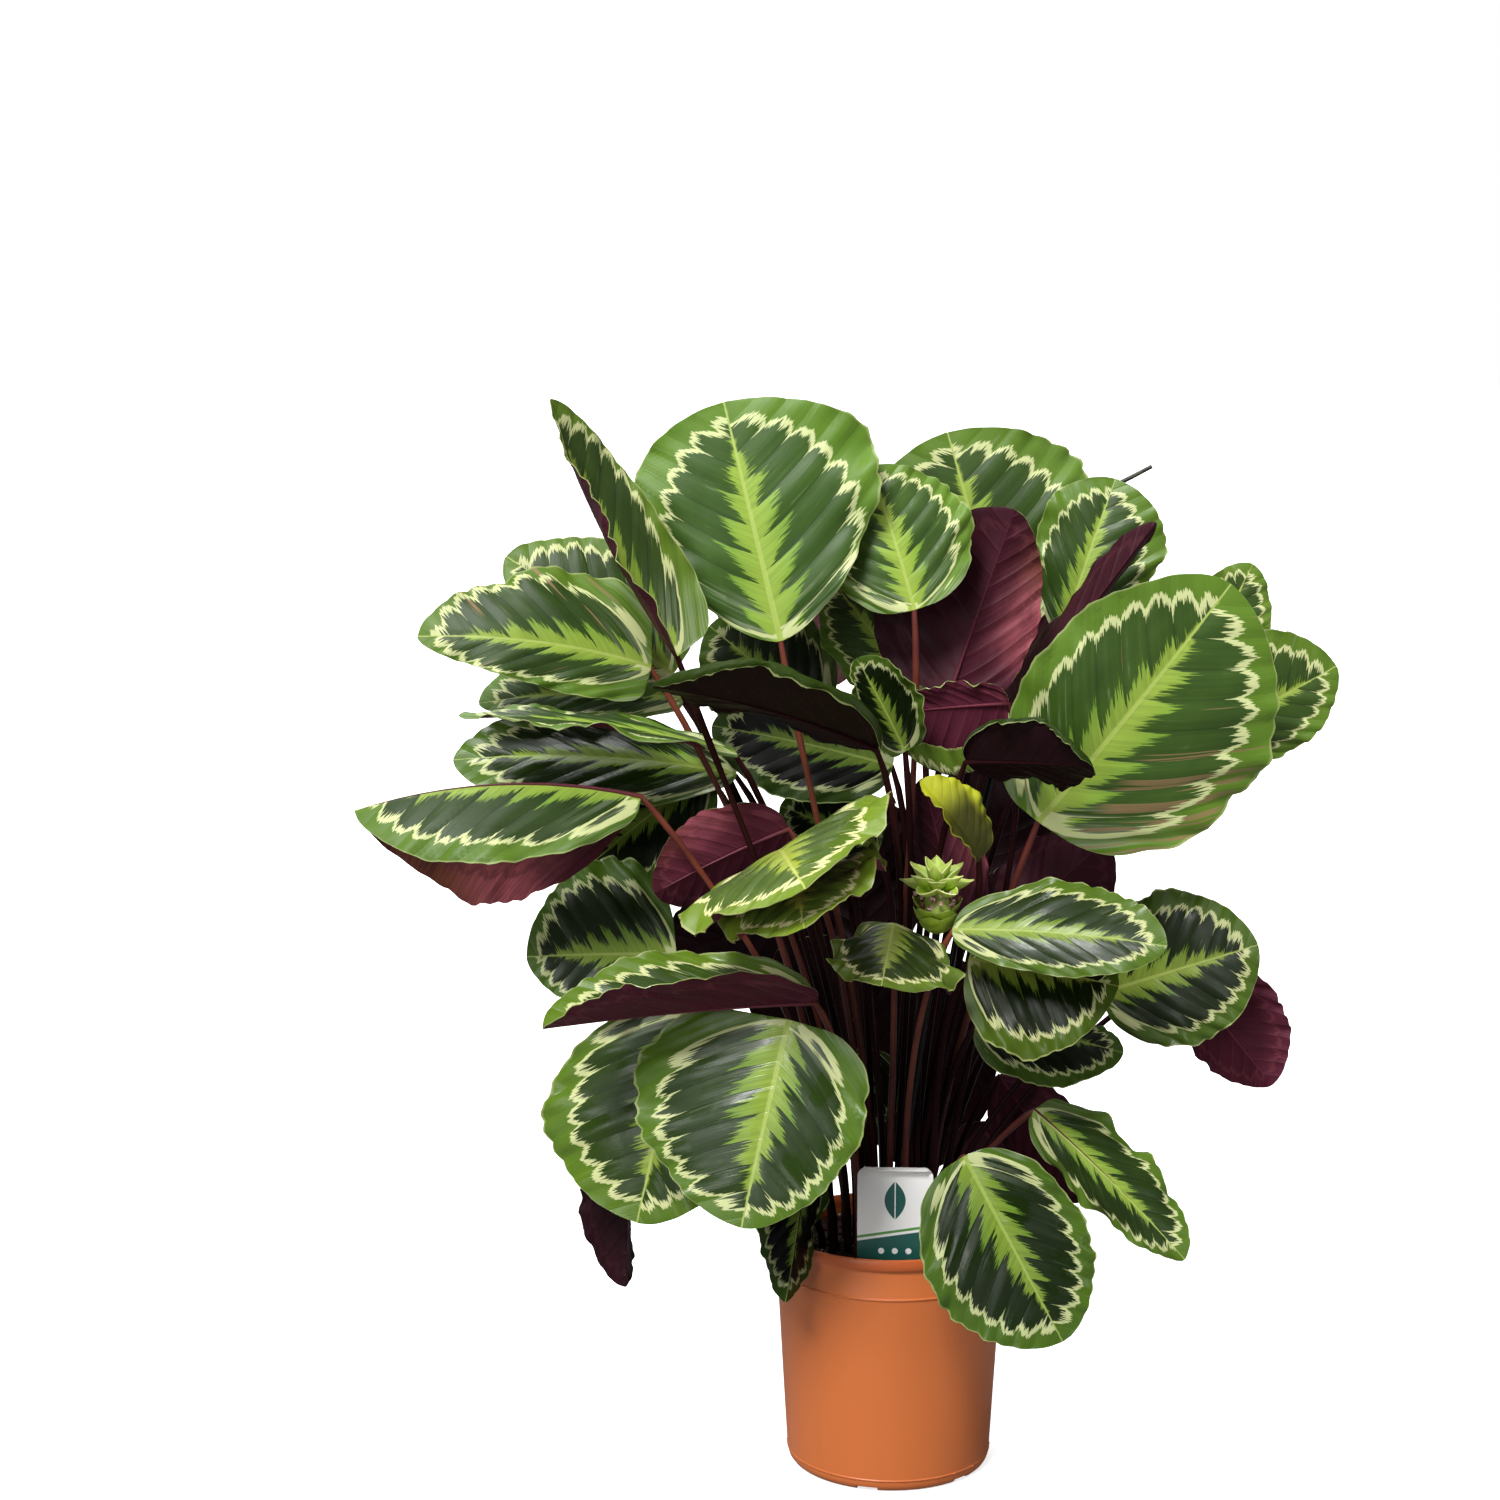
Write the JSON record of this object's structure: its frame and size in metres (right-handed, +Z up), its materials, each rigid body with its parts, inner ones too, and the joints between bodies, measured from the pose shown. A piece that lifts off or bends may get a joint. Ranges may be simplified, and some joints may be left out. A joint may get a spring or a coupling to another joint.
{
  "type": "potted medallion calathea",
  "caption": "Potted prayer plant with broad round patterned leaves, purple beneath, on long stalks rising from one crown in a tapered plastic nursery pot with a plain care card.",
  "frame": {"origin": "centre of the pot's underside, on the ground", "axes": "+Z up, -Y towards the side that the plant shows in the picture, +X to that view's right"},
  "size_m": [0.7855, 0.5134, 0.8863],
  "materials": {
    "leaf": "gloss",
    "flower": "satin",
    "new_leaf": "satin",
    "pot": "satin",
    "soil": "matte",
    "card": "satin"
  },
  "bodies": {
    "root": {"pot": "pot", "soil": "soil", "care_card": "card", "flower_head": "flower", "new_leaf": "new_leaf", "leaf_top_left_tall": "leaf", "leaf_left_upper": "leaf", "leaf_top_centre": "leaf", "leaf_top_inner": "leaf", "leaf_top_right_back": "leaf", "leaf_top_right": "leaf", "leaf_top_right_rolled": "leaf", "leaf_top_purple": "leaf", "leaf_inner_cup": "leaf", "leaf_inner_dark": "leaf", "leaf_right_big": "leaf", "leaf_right_small_back": "leaf", "leaf_far_right": "leaf", "leaf_left_mid_back": "leaf", "leaf_left_mid_folded": "leaf", "leaf_left_mid_low": "leaf", "leaf_left_drooping": "leaf", "leaf_left_shade": "leaf", "leaf_inner_purple_left": "leaf", "leaf_front_bright": "leaf", "leaf_front_bright_under": "leaf", "leaf_inner_long_purple": "leaf", "leaf_behind_centre": "leaf", "leaf_inner_band": "leaf", "leaf_young_yellow": "leaf", "leaf_young_purple": "leaf", "leaf_left_low_back": "leaf", "leaf_left_low_folded": "leaf", "leaf_left_low_hanging": "leaf", "leaf_front_left": "leaf", "leaf_left_low_dark": "leaf", "leaf_pot_side_dark": "leaf", "leaf_front_small": "leaf", "leaf_right_mid": "leaf", "leaf_right_mid_under": "leaf", "leaf_right_side": "leaf", "leaf_right_purple": "leaf", "leaf_right_dark_low": "leaf", "leaf_right_low_slim": "leaf", "leaf_right_low_purple": "leaf", "leaf_front_right": "leaf", "leaf_inner_low": "leaf", "leaf_right_brown_back": "leaf", "leaf_inner_green": "leaf", "leaf_inner_streaked": "leaf", "leaf_back_top_left": "leaf", "leaf_back_top_right": "leaf", "leaf_back_right": "leaf", "leaf_left_upper_back": "leaf", "leaf_back_centre": "leaf", "leaf_back_left_low": "leaf", "leaf_inner_lobe": "leaf", "leaf_back_centre_low": "leaf", "leaf_back_left_hanging": "leaf", "leaf_back_right_hanging": "leaf"}
  },
  "joints": []
}
